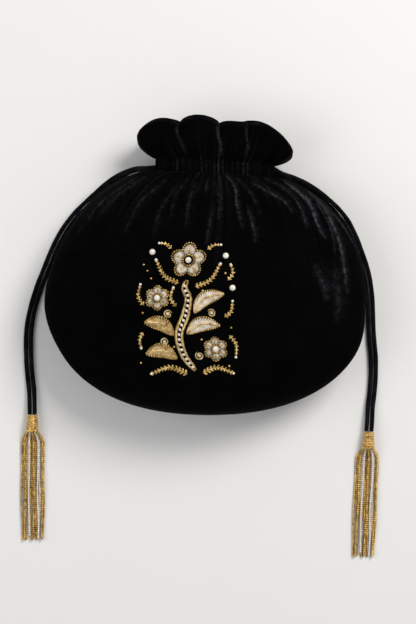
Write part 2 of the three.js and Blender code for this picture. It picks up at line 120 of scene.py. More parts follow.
def throughPoints(points, step):  # centripetal Catmull-Rom through the points, evenly spaced afterwards
    p = np.asarray(points, float)
    p = np.vstack([2 * p[0] - p[1], p, 2 * p[-1] - p[-2]])
    line = []
    for a, b, c, d in zip(p, p[1:], p[2:], p[3:]):
        t1, t2, t3 = np.cumsum([np.linalg.norm(y - x) ** 0.5 for x, y in ((a, b), (b, c), (c, d))])
        t = np.linspace(t1, t2, 24, endpoint=False)[:, None]
        ab = a * (t1 - t) / t1 + b * t / t1
        bc = b * (t2 - t) / (t2 - t1) + c * (t - t1) / (t2 - t1)
        cd = c * (t3 - t) / (t3 - t2) + d * (t - t2) / (t3 - t2)
        left = ab * (t2 - t) / t2 + bc * t / t2
        right = bc * (t3 - t) / (t3 - t1) + cd * (t - t1) / (t3 - t1)
        line.append(left * (t2 - t) / (t2 - t1) + right * (t - t1) / (t2 - t1))
    line = np.vstack(line + [p[-2:-1]])
    gone = lineGone(line)
    even = np.linspace(0, gone[-1], max(2, int(round(gone[-1] / step)) + 1))
    return np.stack([np.interp(even, gone, line[:, k]) for k in range(3)], -1)


# a tube: each path point carries a ring of the given radius, square to the path, ends drawn to a point
def tubes(paths, radius, sides):
    paths = np.asarray(paths, float)
    if paths.ndim == 2:
        paths = paths[None]
    paths = np.concatenate([paths[:, :1], paths, paths[:, -1:]], 1)
    radius = np.broadcast_to(np.asarray(radius, float), (len(paths), paths.shape[1] - 2)).copy()
    radius = np.pad(radius, ((0, 0), (1, 1)))
    way = np.gradient(paths, axis=1)
    way[:, 0], way[:, -1] = way[:, 1], way[:, -2]
    way = unit(way)
    side = unit(np.cross(way, (0.0, 0.0, 1.0)))
    over = np.cross(side, way)
    turn = np.linspace(0, 2 * np.pi, sides, endpoint=False)
    ring = side[:, :, None] * np.cos(turn)[:, None] + over[:, :, None] * np.sin(turn)[:, None]
    points = paths[:, :, None] + ring * radius[:, :, None, None]
    count, rows = paths.shape[:2]
    quads = gridQuads(rows, sides, True)
    faces = (quads[None] + (np.arange(count) * rows * sides)[:, None, None]).reshape(-1, 4)
    steps = np.linalg.norm(np.diff(paths, axis=1), axis=2)
    gone = np.concatenate([np.zeros((count, 1)), np.cumsum(steps, 1)], 1)
    uv = np.stack(np.broadcast_arrays(gone[:, :, None], (turn / (2 * np.pi))[None, None]), -1)
    return points.reshape(-1, 3), faces[:, ::-1], uv.reshape(-1, 2)


# beads: a small barrel, (sin a cos b, sin a sin b, cos a), at each centre and stretched along its thread
def beads(centres, ways, across, along, sides, rings):
    centres = np.asarray(centres, float).reshape(-1, 3)
    ways = unit(np.broadcast_to(np.asarray(ways, float), centres.shape))
    spare = np.where(np.abs(ways[:, 2:3]) > 0.9, [[1.0, 0, 0]], [[0, 0, 1.0]])
    side = unit(np.cross(ways, spare))
    over = np.cross(side, ways)
    a = np.linspace(0, np.pi, rings + 1)[1:-1, None]
    b = np.linspace(0, 2 * np.pi, sides, endpoint=False)[None]
    belly = np.sin(a) ** 0.8  # below 1 the bead is blunter than a ball
    ball = np.stack(np.broadcast_arrays(belly * np.cos(b), belly * np.sin(b), np.cos(a)), -1)
    ball = np.vstack([[[0, 0, 1]], ball.reshape(-1, 3), [[0, 0, -1]]])
    across = np.broadcast_to(np.asarray(across, float), len(centres))[:, None, None]
    along = np.broadcast_to(np.asarray(along, float), len(centres))[:, None, None]
    points = centres[:, None] + across * (ball[:, :1] * side[:, None] + ball[:, 1:2] * over[:, None])
    points = points + along * ball[:, 2:] * ways[:, None]
    k = np.arange(sides)
    n = (k + 1) % sides
    last = 1 + (rings - 2) * sides
    top = np.stack([0 * k, 1 + n, 1 + k], -1)[:, ::-1]
    low = np.stack([0 * k + len(ball) - 1, last + k, last + n], -1)[:, ::-1]
    body = gridQuads(rings - 1, sides, True) + 1
    body = np.vstack([body[:, [0, 1, 2]], body[:, [0, 2, 3]]])[:, ::-1]
    one = np.vstack([top, body, low])
    faces = (one[None] + (np.arange(len(centres)) * len(ball))[:, None, None]).reshape(-1, 3)
    return points.reshape(-1, 3), faces[:, ::-1]


# materials

def newMaterial(name):  # a material with its shader, and a function that adds a node to it
    material = bpy.data.materials.new(name)
    material.use_nodes = True
    tree = material.node_tree

    def add(kind, inputs=None, **settings):
        node = tree.nodes.new(kind)
        for key, value in settings.items():
            setattr(node, key, value)
        for key, value in (inputs or {}).items():
            if isinstance(value, bpy.types.NodeSocket):
                tree.links.new(value, node.inputs[key])
            else:
                node.inputs[key].default_value = value
        return node

    return material, add, tree, tree.nodes["Principled BSDF"]


def noise(add, place, scale, detail=2.0, rough=0.5):
    inputs = {"Vector": place, "Scale": scale, "Detail": detail, "Roughness": rough}
    return add("ShaderNodeTexNoise", inputs).outputs["Fac"]


def twoTones(add, value, ends, look):  # from the dark to the light colour of a look, between two values
    tone = add("ShaderNodeValToRGB", {"Fac": value})
    for stop, place, colour in zip(tone.color_ramp.elements, ends, (look["dark"], look["light"])):
        stop.position = place
        stop.color = (*colour, 1)
    return tone.outputs["Color"]


def spreadOut(add, value, low, high):  # a value between low's and high's first number, made their second
    return add("ShaderNodeMapRange", {"Value": value, "From Min": low[0], "From Max": high[0],
                                      "To Min": low[1], "To Max": high[1]}).outputs[0]


def times(add, a, b):
    return add("ShaderNodeMath", {0: a, 1: b}, operation="MULTIPLY")


def clothMaterial(name, look):  # pile cloth: dark ground of random tones, grey sheen, and a painted highlight from a point attribute, broken into patches and a fine nap
    material, add, tree, shader = newMaterial(name)
    place = add("ShaderNodeTexCoord").outputs["Object"]
    patch = noise(add, place, look["patchScale"], 4.0, 0.6)
    nap = noise(add, place, look["napScale"], 3.0, 0.7)
    tone = twoTones(add, times(add, patch, nap).outputs[0], look["patchRange"], look)
    # painted highlight: where the point attribute is high, the base colour is mixed towards a lighter sheen
    # colour, broken up by patch and nap noise
    sheenMask = add("ShaderNodeAttribute", attribute_name="paintedSheen").outputs["Fac"]
    grain = spreadOut(add, nap, (0.3, 0.55), (0.7, 1.25))
    sheenPatches = spreadOut(add, noise(add, place, look["sheenPatchScale"], 3.0, 0.65), (0.38, 0.2), (0.64, 1.5))
    shine = times(add, times(add, sheenMask, sheenPatches).outputs[0], grain)
    shine.use_clamp = True
    cloth = add("ShaderNodeMix", {"Factor": shine.outputs[0]}, data_type="RGBA")
    tree.links.new(tone, cloth.inputs[6])
    cloth.inputs[7].default_value = (*look["sheenPaint"], 1)
    tree.links.new(cloth.outputs[2], shader.inputs["Base Color"])
    bump = add("ShaderNodeBump", {"Height": nap, "Strength": look["bump"], "Distance": 0.0006})
    tree.links.new(bump.outputs["Normal"], shader.inputs["Normal"])
    shader.inputs["Roughness"].default_value = look["rough"]
    shader.inputs["Specular IOR Level"].default_value = look["gloss"]
    shader.inputs["Sheen Weight"].default_value = look["sheen"]
    shader.inputs["Sheen Roughness"].default_value = look["sheenRough"]
    shader.inputs["Sheen Tint"].default_value = (*look["sheenTint"], 1)
    return material


def metalMaterial(name, look):  # gold work: warm metal with worn patches and, on wire, fine coils along it
    material, add, tree, shader = newMaterial(name)
    coords = add("ShaderNodeTexCoord")
    wear = noise(add, coords.outputs["Object"], look["wearScale"], 3.0)
    tree.links.new(twoTones(add, wear, (0.32, 0.68), look), shader.inputs["Base Color"])
    polished, worn = look["rough"]
    tree.links.new(spreadOut(add, wear, (0, polished), (1, worn)), shader.inputs["Roughness"])
    if look["coil"]:
        along = {"Vector": coords.outputs["UV"], "Scale": look["coil"]}
        wave = add("ShaderNodeTexWave", along, bands_direction="X")
        height, strength = wave.outputs["Fac"], 0.5
    else:
        height, strength = noise(add, coords.outputs["Object"], 1500.0), 0.12
    bump = add("ShaderNodeBump", {"Height": height, "Strength": strength, "Distance": 0.0002})
    tree.links.new(bump.outputs["Normal"], shader.inputs["Normal"])
    shader.inputs["Metallic"].default_value = look["metal"]
    return material


def pearlMaterial(name, look):  # bead with a clear coat over a softly clouded body
    material, add, tree, shader = newMaterial(name)
    place = add("ShaderNodeTexCoord").outputs["Object"]
    cloud = noise(add, place, 420.0)
    tree.links.new(twoTones(add, cloud, (0.35, 0.65), look), shader.inputs["Base Color"])
    shader.inputs["Roughness"].default_value = look["rough"]
    shader.inputs["Coat Weight"].default_value = 0.6
    shader.inputs["Coat Roughness"].default_value = 0.12
    return material


# the lighter colour the velvet is mixed towards, and the patch scale that breaks it up, make a painted sheen
# highlight on fold ridges, pleat tops and ruffle creases
velvetLook = {
    "patchScale": 55.0, "napScale": 1100.0, "sheenPatchScale": 380.0, "patchRange": (0.2, 0.42),
    "dark": (0.0006, 0.0006, 0.0008), "light": (0.0017, 0.0017, 0.002), "sheenPaint": (0.05, 0.05, 0.057),
    "bump": 0.35, "rough": 0.95, "gloss": 0.02,
    "sheen": 0.032, "sheenRough": 0.25, "sheenTint": (0.55, 0.55, 0.6),
}
# the cords' base colour is set several times lighter than the bag's velvet: a painted sheen on the black
# velvet cords
cordLook = dict(velvetLook, dark=(0.003, 0.003, 0.0034), light=(0.013, 0.013, 0.015),
                sheen=0.38, patchScale=160.0)
satinLook = dict(velvetLook, dark=(0.006, 0.006, 0.007), light=(0.012, 0.011, 0.013), rough=0.42, gloss=0.5,
                 sheen=0.05, bump=0.1)
goldLook = {"wearScale": 380.0, "dark": (0.4, 0.23, 0.05), "light": (0.92, 0.64, 0.22), "rough": (0.2, 0.4),
            "metal": 1.0, "coil": 0.0}
wireLook = dict(goldLook, dark=(0.5, 0.33, 0.12), light=(0.98, 0.78, 0.42), coil=1.6)
silkLook = dict(goldLook, dark=(0.6, 0.49, 0.36), light=(0.93, 0.86, 0.73), rough=(0.35, 0.6),
                metal=0.2, coil=1.6)
pearlLook = {"dark": (0.66, 0.6, 0.5), "light": (0.86, 0.82, 0.74), "rough": 0.24}
whiteLook = {"dark": (0.62, 0.58, 0.53), "light": (0.84, 0.81, 0.77), "rough": 0.22}
velvet = clothMaterial("blackVelvet", velvetLook)
cordVelvet = clothMaterial("cordVelvet", cordLook)
satin = clothMaterial("blackSatin", satinLook)
gold = metalMaterial("goldBead", goldLook)
wire = metalMaterial("goldWire", wireLook)
champagne = metalMaterial("champagneThread", silkLook)
pearl = pearlMaterial("ivoryPearl", pearlLook)
whiteBead = pearlMaterial("whiteBead", whiteLook)
print("materials made")


# camera straight down, as far as the lens of the picture stands from the bag

view = {"x": 2.4, "y": -8.4, "z": 1336.0, "span": 436.8, "reach": 1300.0}
cameraData = bpy.data.cameras.new("camera")
cameraData.sensor_width = 36
cameraData.lens = 36 * view["reach"] / view["span"]
camera = bpy.data.objects.new("camera", cameraData)
camera.location = (view["x"] * mm, view["y"] * mm, view["z"] * mm)
scene.collection.objects.link(camera)
scene.camera = camera


# drawstrings: the cords' routes, in mm, from the slot down to the tassel head

cordSizes = {"thick": 3.2, "sides": 14, "step": 1.4, "lane": 1.9, "wobble": 0.05, "inSlot": 5}
neck = {"x": 7.3, "lean": 0.0612, "centre": 27.0, "bandMiddle": 92.75}
leftUpper = [
    (-40.4, 92.9, 28.8), (-48.2, 92.6, 28.2), (-56.6, 90, 26.4), (-64.8, 85.9, 23.2), (-71.6, 81.2, 19),
    (-83.2, 71.6, 10.8), (-94.6, 60.9, 4.6), (-103.4, 49.1, 2.2), (-109.6, 37, 1.8), (-115.5, 22.8, 1.7),
    (-121.2, 8, 1.7), (-125.8, -8, 1.7), (-128, -21.2, 1.7), (-128.4, -35.7, 1.7), (-127.7, -50.1, 1.7),
    (-126.1, -64.4, 2.4), (-125.5, -75.2, 4.2), (-125.35, -81.7, 4.95)]
leftLower = [
    (-40.2, 92.2, 25.2), (-47.6, 91.8, 24.9), (-56, 88.9, 23), (-63.9, 84.7, 19.8), (-70.2, 79.7, 15.8),
    (-81.2, 69.3, 8.2), (-92.4, 58.6, 3), (-100.6, 47, 1.8), (-106.4, 35.5, 1.7), (-111.9, 22.2, 1.7),
    (-117.4, 8.5, 1.7), (-122, -6.6, 1.7), (-124.4, -20.5, 1.7), (-124.8, -35, 1.7), (-124.1, -49.4, 1.7),
    (-122.5, -63.7, 2.4), (-121.95, -75.2, 4.2), (-121.85, -81.7, 4.95)]
rightUpper = [
    (54.9, 88.9, 28.5), (65.6, 85.4, 25.4), (76.8, 80, 18.8), (86.5, 73.5, 12.2), (95.1, 66.2, 6.8),
    (103.1, 56.8, 2.8), (109, 45.3, 1.8), (113.6, 32.9, 1.7), (117.6, 20.6, 1.7), (119.9, 7.4, 1.7),
    (120.8, -5.5, 1.7), (121.2, -17.7, 1.7), (121.8, -28.5, 1.7), (122.8, -39.3, 1.7), (123, -51.5, 1.7),
    (122.2, -64.4, 1.7), (120.7, -76.4, 2.6), (120, -87.4, 4.3), (119.45, -94, 4.95)]
rightLower = [
    (54.7, 87.8, 25.2), (65, 83.8, 21.8), (75.6, 78.3, 15.4), (84.7, 71.6, 9.2), (92.9, 64, 4.2),
    (100.5, 54.6, 1.8), (106.1, 43.6, 1.7), (110.3, 31.8, 1.7), (114.1, 19.7, 1.7), (116.3, 6.9, 1.7),
    (117.2, -5.5, 1.7), (117.6, -17.7, 1.7), (118.2, -28.5, 1.7), (119.2, -39.3, 1.7), (119.4, -51.5, 1.7),
    (118.6, -64.4, 1.7), (117.2, -76.4, 2.6), (116.5, -87.2, 4.3), (115.95, -93.8, 4.95)]
# round the casing: along x from the neck's middle, then up from its middle height
casing = [
    (-41, 1.75), (-36, 3.1), (-31, 6.1), (-25, 8.3), (-14, 9.2), (0, 9.5), (14, 9.2), (25, 8.2), (33, 6.6),
    (37, 4.6), (38.4, 0), (37, -4.6), (33, -6.6), (25, -8.2), (14, -9.2), (0, -9.5), (-14, -9.2),
    (-25, -8.3), (-31, -6.1), (-36, -3.1), (-41, -1.75)]


def cordLine(side, upper, lower):  # head, slot, round the casing, slot, head, on one smooth line
    lane = neck["bandMiddle"] + side * cordSizes["lane"]
    turn = np.array([(-side * a, lane, neck["centre"] + b) for a, b in casing])
    turn[:, 1] -= neck["lean"] * turn[:, 0]
    turn[:, 0] += neck["x"]
    return throughPoints(np.vstack([upper[::-1], turn, lower]), cordSizes["step"]), turn


def cordPiece(name, line, node):  # a tube round the line, a little uneven in thickness
    along = np.arange(len(line))
    uneven = cordSizes["wobble"] * np.sin(along * 0.43) * np.sin(along * 0.17 + 1)
    radius = cordSizes["thick"] / 2 * (1 + uneven)
    points, faces, uv = tubes(line, radius, cordSizes["sides"])
    piece = buildPiece(name, [(points, faces, 0, uv)], [cordVelvet], weld=0.001)
    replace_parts(piece, node)
    return piece


for side, upper, lower, label in ((-1, leftUpper, leftLower, "left"), (1, rightUpper, rightLower, "right")):
    line, turn = cordLine(side, upper, lower)
    slotAt = [int(np.argmin(np.linalg.norm(line - turn[k], axis=1))) for k in (0, -1)]
    inside = cordSizes["inSlot"]  # steps that an end runs on inside the slot
    node = label + "_drawstring"
    strandA = line[: slotAt[0] + inside][::-1]
    strandB = line[slotAt[1] - inside:]
    loop = line[slotAt[0] + inside - 1: slotAt[1] - inside + 1]
    cordPiece(label + "CasingLoop", loop, node)
    for tag, strand in (("Upper", strandA), ("Lower", strandB)):
        piece = cordPiece(label + "Cord" + tag, strand, node)


# tassels: a wound head of gold beads, and a skirt of bead strands on the floor

tassel = {
    "headLength": 12.4, "headTop": 7.4, "headBase": 9.8, "turns": 7, "lift": 4.95, "strand": 1.45,
    "length": 78.0, "pitch": 1.6, "spread": 7.0, "layer": 1.4, "gap": 0.3, "beadPitch": 1.5, "half": 5,
    "coreInset": 0.9, "beadInset": 0.86, "headPitch": 1.72, "headBead": (0.87, 0.93), "sway": 0.42,
    "drawIn": 0.05,
    "trim": [0, 1.6, 0.4, 2.4, 0.9, 0, 1.9, 0.6, 2.1, 0.3, 1.2, 0.7, 2.6, 0.2, 1.5, 1],
    "white": [3, 8, 12, 14],
}
tasselPlaces = {"left": (-123.6, -82.0, 0.0), "right": (117.7, -94.2, -0.045)}


def tasselFrame(place, across, down, up):  # across, down and up of a tassel into the bag's frame
    x, y, heading = place
    return np.stack([x + across * math.cos(heading) + down * math.sin(heading),
                     y + across * math.sin(heading) - down * math.cos(heading), up + 0 * across], -1)


def headParts(place):  # core of revolution, then rows of beads round it, each row set a little off the last
    t = tassel
    turn = np.linspace(0, 2 * np.pi, 24, endpoint=False)
    down = np.array([0, 0, 0.15, 0.4, 0.6, 0.85, 1, 1]) * t["headLength"]
    wide = mix(t["headTop"], t["headBase"], down / t["headLength"]) / 2 - t["coreInset"]
    wide[[0, -1]] = 0
    girth = wide[:, None]
    up = t["lift"] + girth * np.sin(turn)
    core = tasselFrame(place, girth * np.cos(turn), down[:, None] + 0 * turn, up)
    parts = [(core, gridQuads(len(down), len(turn), True), 1, None)]
    for row in range(t["turns"]):
        at = (row + 0.5) / t["turns"]
        ring = mix(t["headTop"], t["headBase"], at) / 2 - t["beadInset"]
        count = int(round(2 * np.pi * ring / t["headPitch"]))
        turn = (np.arange(count) + 0.37 * row) * 2 * np.pi / count
        wob = 0.1 * np.sin(np.arange(count) * 2.3 + row)
        down = at * t["headLength"] + wob
        centre = tasselFrame(place, ring * np.cos(turn), down, t["lift"] + ring * np.sin(turn))
        way = tasselFrame((0, 0, place[2]), -np.sin(turn), 0 * turn, np.cos(turn))
        points, faces = beads(centre, way, *t["headBead"], sides=8, rings=6)
        parts.append((points, faces, 0, None))
    return parts


def strandPlace(index, share):  # across and up, from a bundle under the head to a flat skirt
    t = tassel
    s = share * share * (3 - 2 * share)
    low = mix(t["lift"] - t["layer"], t["strand"] / 2 + t["gap"] / 2, s)
    step = mix(t["strand"] / 2 + t["gap"] / 8, t["pitch"], share)
    drop = t["layer"] * (1 - share * share)
    if index <= 2 * t["half"]:
        place = index - t["half"]
        return place * step, low + (drop if abs(place) % 2 == 1 else 0)
    place = 2 * (index - 2 * t["half"] - 3)
    return place * step + t["pitch"] / 2 * share, low + drop + t["layer"]


def strandParts(place, wanted):  # beads along each strand, with a little unevenness in size and line
    t = tassel
    parts = []
    for index in wanted:
        along = np.arange(0.4, t["length"] - t["trim"][index], t["beadPitch"])
        share = np.sqrt(np.clip(along / t["spread"], 0, 1))
        across, up = strandPlace(index, share)
        free = smoothStep(6, 45, along)
        sway = np.sin(along * (0.1 + 0.02 * np.sin(index * 5.1)) + index * 2.7)
        across = across * (1 - t["drawIn"] * smoothStep(20, t["length"], along)) + free * t["sway"] * sway
        centre = tasselFrame(place, across, t["headLength"] + t["gap"] + along, up)
        size = t["strand"] / 2 * (1.03 + 0.06 * np.sin(along * 7.1 + index * 3.3))
        long = t["beadPitch"] * 0.54
        points, faces = beads(centre, np.gradient(centre, axis=0), size, long, sides=7, rings=4)
        parts.append((points, faces, 0, None))
    return parts


for label, place in tasselPlaces.items():
    head = buildPiece(label + "Head", headParts(place), [gold, wire])
    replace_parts(head, label + "_tassel_head")
    whites = tassel["white"]
    golds = [k for k in range(len(tassel["trim"])) if k not in whites]
    skirts = (("Gold", golds, gold, "gold_bead"), ("White", whites, whiteBead, "white_bead"))
    for tag, wanted, look, slotName in skirts:
        skirt = buildPiece(label + "Skirt" + tag, strandParts(place, wanted), [look])
        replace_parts(skirt, *[f"{label}_strand_{k + 1}" for k in wanted])
print("tassels strung")


# velvet bag: two panels sewn round the edge, drawn in at the casing, with a turned-over ruffle

bag = {
    "width": 224.8, "lower": 80.5, "upper": 88.5, "lowerPower": 2.27, "upperPower": 1.8,
    "seam": 36.0, "frontCrown": 46.0, "backDepth": 44.0, "bodyRound": 1.3, "neckRound": 0.55, "swell": 0.9,
    "neckWidth": 84.0, "neckThick": 26.0, "band": 8.5, "leanStart": -10.0, "bottomShift": 3.0, "gap": 0.3,
    "velvet": 1.4,
}
ruffle = {
    "height": 29.5, "width": 110.0, "half": 24.0, "widest": 0.8, "flare": 0.8, "curl": 0.08, "valley": 0.4,
    "leftDrop": 9.0, "leftWide": 0.35, "rightDrop": 15.0, "rightWide": 0.5, "wall": 3.2,
    "frontValleys": (0, 0.348, 0.519, 0.638, 1), "frontDips": (2.8, 5.6, 4.6, 1.4, 1.2),
    "frontCrests": (2.8, 0, 2.9, 1.2),
    "backValleys": (0, 0.3, 0.46, 0.65, 1), "backDips": (2.8, 9, 9, 9, 1.2), "backCrests": (7.5, 7, 7, 7),
}
# gathers: place across the panel, drift, half width, rise, reach below the casing
frontGathers = [
    (0.13, -0.02, 0.035, 3.2, 46), (0.24, -0.02, 0.03, 2.4, 34), (0.36, -0.01, 0.028, 2, 30),
    (0.47, 0.02, 0.026, 2.2, 36), (0.56, 0.03, 0.026, 2.4, 42), (0.66, 0.02, 0.028, 2.2, 34),
    (0.76, 0.03, 0.03, 2.8, 50), (0.85, 0.03, 0.03, 3.6, 66), (0.93, 0.015, 0.024, 3, 80)]
backGathers = [
    (0.16, -0.02, 0.045, 2.6, 40), (0.34, -0.01, 0.04, 2.2, 32), (0.52, 0.01, 0.04, 2.4, 34),
    (0.7, 0.02, 0.04, 2.2, 34), (0.86, 0.02, 0.045, 2.8, 46)]


# half width, half thickness, corner shape and share up the ruffle at height y:
# super-ellipse below the widest line, a tapering shoulder above it, then casing and flaring ruffle
def station(y, depth, inset):
    neckHalf = bag["neckWidth"] / 2 - inset
    neckThick = bag["neckThick"] / 2 - inset
    cornerShape = mix(bag["bodyRound"], bag["neckRound"], smoothStep(bag["upper"] / 2, bag["upper"], y))
    down = np.clip(-y / (bag["lower"] - inset), 0, 1)
    fullLow = (1 - down ** bag["lowerPower"]) ** (1 / bag["lowerPower"])
    shoulder = bag["upper"] - inset
    rise = np.clip(y / shoulder, 0, 1)
    taper = (1 - rise ** bag["upperPower"]) ** (1 / bag["upperPower"])
    up = np.clip((y - bag["upper"] - bag["band"]) / ruffle["height"], 0, None)
    opening = np.sin(np.pi / 2 * np.minimum(up / ruffle["widest"], 1)) ** ruffle["flare"]
    curl = (np.maximum(0, up - ruffle["widest"]) / (1 - ruffle["widest"])) ** 2
    opening = opening * (1 - ruffle["curl"] * curl)
    halfUp = neckHalf + (bag["width"] - bag["neckWidth"]) / 2 * taper
    halfUp = halfUp + (ruffle["width"] - bag["neckWidth"]) / 2 * opening
    thickUp = neckThick + (depth - bag["neckThick"] / 2) * taper ** bag["swell"]
    thickUp = thickUp + (ruffle["half"] - bag["neckThick"] / 2) * opening
    half = np.where(y < 0, (bag["width"] / 2 - inset) * fullLow, halfUp)
    thick = np.where(y < 0, (depth - inset) * fullLow ** bag["swell"], thickUp)
    return half, thick, cornerShape, up


def seamHeight(y):
    return mix(bag["seam"], neck["centre"], smoothStep(bag["leanStart"], bag["upper"], y))


def lobe(panel, s):  # 0 in a valley of the ruffle, 1 on a crest, with the edge's drop in either
    valleys, dips, crests = (np.asarray(panel[key], float) for key in ("valleys", "dips", "crests"))
    k = np.clip(np.searchsorted(valleys, s, side="left"), 1, len(valleys) - 1)
    share = (s - valleys[k - 1]) / (valleys[k] - valleys[k - 1])
    return np.sqrt(np.maximum(0, np.sin(np.pi * share))), mix(dips[k - 1], dips[k], share), crests[k - 1]


def leaning(x, y, z):  # the neck leans to the right, and the bottom hangs a little that way
    share = smoothStep(bag["leanStart"], bag["upper"], y)
    shift = neck["x"] * share + bag["bottomShift"] * smoothStep(0, bag["lower"] / 2, -y)
    return np.stack(np.broadcast_arrays(x + shift, y - neck["lean"] * x * share, z), -1)


def gatherRise(gathers, s, y):  # sum of bell-shaped ridges along each gather, fading down the body
    below = np.maximum(0, bag["upper"] - y)
    rise = 0 * s
    for place, drift, width, height, reach in gathers:
        along = np.minimum(below / reach, 1)
        rise = rise + height * np.exp(-(((s - place - drift * along) / width) ** 2)) * (1 - along) ** 2
    return rise * np.sin(np.pi * s) * (1 - smoothStep(bag["upper"], bag["upper"] + bag["band"], y))


# cloth bunched out under the right cord where it leaves the casing
notch = {"at": 88.4, "wide": 2.6, "rise": 5.4}


def panelFace(panel, s, y, inset, extra=0.0):  # a panel's face at inset, with extra added along its bulge
    half, thick, cornerShape, up = station(y, panel["depth"], inset)
    puff, dip, crest = lobe(panel, s)
    out = -np.cos(np.pi * s)
    wide = np.where(out < 0, ruffle["leftWide"], ruffle["rightWide"])
    ends = np.where(out < 0, ruffle["leftDrop"], ruffle["rightDrop"])
    ends = ends * (np.maximum(0, np.abs(out) - 1 + wide) / wide) ** 2
    drop = (mix(dip, crest, puff) + ends) * up
    across = np.sin(np.pi * np.clip(s, 0, 1))
    bulge = thick * (1 - ruffle["valley"] * np.minimum(up, 1) * (1 - puff)) * across ** cornerShape
    off = bulge + gatherRise(panel["gathers"], s, y) + extra * np.minimum(1, across * 6)
    z = np.maximum(seamHeight(y) + panel["way"] * off, inset)
    tuckIn = notch["rise"] * np.exp(-(((y - notch["at"]) / notch["wide"]) ** 2)) * smoothStep(0.8, 1, s)
    return leaning(half * out + tuckIn, y - drop, z)


frontPanel = {"way": 1, "depth": bag["frontCrown"], "gathers": frontGathers,
              "valleys": ruffle["frontValleys"], "dips": ruffle["frontDips"], "crests": ruffle["frontCrests"]}
backPanel = {"way": -1, "depth": bag["backDepth"], "gathers": backGathers,
             "valleys": ruffle["backValleys"], "dips": ruffle["backDips"], "crests": ruffle["backCrests"]}

# shirring: fine pleats held by the casing stitches, their number, depth and reach
shirring = {"count": 36, "depth": 1.7, "below": 13.0, "above": 8.0, "warp": 0.55}


def pleats(s, y, seed):  # round-topped ridges with narrow valleys, uneven in width, strongest in the casing, and a painted highlight on the ridge tops
    phase = shirring["count"] * s + shirring["warp"] * np.sin(9.1 * s + seed)
    phase = phase + 0.4 * np.sin(23.0 * s + 2 * seed)
    ridge = np.abs(np.sin(np.pi * phase)) ** 0.7
    number = np.floor(phase)
    reach = shirring["below"] * (0.4 + 1.8 * np.abs(np.sin(number * 12.9 + seed * 3)) ** 2)
    low, high = bag["upper"] + 1.0, bag["upper"] + bag["band"]
    fade = np.where(y < low, np.exp(-np.maximum(0, low - y) / reach), 1)
    fade = fade * np.exp(-np.maximum(0, y - high) / shirring["above"])
    strength = 0.6 + 0.4 * np.sin(number * 7.7 + seed)
    # the second value is a painted highlight, lightest on the ridge tops
    return shirring["depth"] * strength * fade * (ridge - 0.5), strength * fade * ridge ** 3


# folds pulled down from the casing: points in mm on the bag as seen from above, width, height, and brightness
# of the painted highlight along the ridge
frontFolds = [
    ([(14, 88), (20, 79), (22, 64), (26, 48)], 1.5, 1.5, 0.6),
    ([(29, 63), (33, 49), (34.5, 38)], 1.6, 1.5, 0.5),
    ([(-7, 79), (-11, 67), (-13.5, 48)], 2.0, 1.0, 0.2), ([(1.5, 82), (0.5, 74)], 1.4, 1.0, 0.3),
    ([(4.5, 60), (0.5, 37)], 1.8, 0.9, 0.22), ([(8, 80), (9.5, 66), (9, 52)], 1.6, 0.9, 0.15),
    ([(33.5, 80.5), (46, 73), (55, 67.5), (61, 59)], 1.8, 1.5, 0.5),
    ([(63.5, 67.5), (68, 58), (70.5, 49)], 2.0, 1.6, 0.45),
    ([(56, 82), (63.5, 76), (72.5, 67), (78, 51.5), (84, 41)], 1.6, 1.8, 1.2),
    ([(73, 74.5), (83, 64), (88.6, 52), (93.4, 39.6), (96, 23), (98.5, 3)], 1.8, 1.8, 1.0),
    ([(60, 79), (70, 68), (76, 56), (80, 46)], 1.1, 0.8, 0.5),
    ([(78, 67), (85, 55), (89, 43), (90, 31)], 1.1, 0.8, 0.45),
    ([(85, 63), (93.5, 56), (101, 45), (106, 37.5)], 1.4, 1.4, 0.5),
    ([(75.5, 21.5), (81, 9.5), (83, -2)], 4.5, 1.2, 0.25), ([(89, 20), (91, 2), (90, -18)], 5.0, 1.0, 0.22),
    ([(42, 84), (52, 79), (62, 70), (66, 62)], 1.5, 1.2, 0.3),
    ([(22, 84), (31, 74), (38, 58)], 1.6, 1.1, 0.22),
    ([(-41, 86), (-60, 73), (-75, 57)], 2.4, 1.4, 0.22), ([(-28, 83), (-45, 67), (-57, 43)], 2.4, 1.3, 0.18),
    ([(-18, 82), (-31, 61), (-36, 40)], 2.2, 1.1, 0.15), ([(-50, 84), (-74, 66), (-90, 45)], 2.2, 1.5, 0.25),
    ([(-12, 84), (-20, 72), (-24, 55)], 1.6, 1.0, 0.15)]


def foldRise(folds, x, y):  # ridge along each line with a shallower trough beside it, faded at both ends, and a painted highlight along the ridge's lit side
    rise, light = 0 * x, 0 * x
    for line, width, height, bright in folds:
        path = throughPoints([(a, b, 0) for a, b in line], 2.0)[:, :2]
        best, where, sign = np.full(x.shape, 1e9), 0 * x, 0 * x
        for k, (a, b) in enumerate(zip(path, path[1:])):
            way = b - a
            share = np.clip(((x - a[0]) * way[0] + (y - a[1]) * way[1]) / (way @ way), 0, 1)
            dx, dy = x - a[0] - share * way[0], y - a[1] - share * way[1]
            gap = np.hypot(dx, dy)
            near = gap < best
            best = np.where(near, gap, best)
            where = np.where(near, (k + share) / (len(path) - 1), where)
            sign = np.where(near, np.sign(way[0] * dy - way[1] * dx), sign)
        d = best * sign / width
        fade = np.sin(np.pi * np.clip(0.1 + 0.9 * where, 0, 1)) ** 0.7
        troughs = 0.45 * np.exp(-((d - 1.7) ** 2)) + 0.3 * np.exp(-((d + 1.9) ** 2))
        rise = rise + height * fade * (np.exp(-d * d) - troughs)
        # painted highlight: a thin bright line just on the lit side of the ridge and a broader soft glow,
        # patchy along it
        patchy = 0.7 + 0.3 * np.sin(19 * where + 5 * height) * np.sin(47 * where + 3 * width)
        glow = np.exp(-((d - 0.2) / 0.42) ** 2) + 0.28 * np.exp(-((d - 0.6) / 1.3) ** 2)
        light = light + bright * fade * patchy * glow
    return rise, light


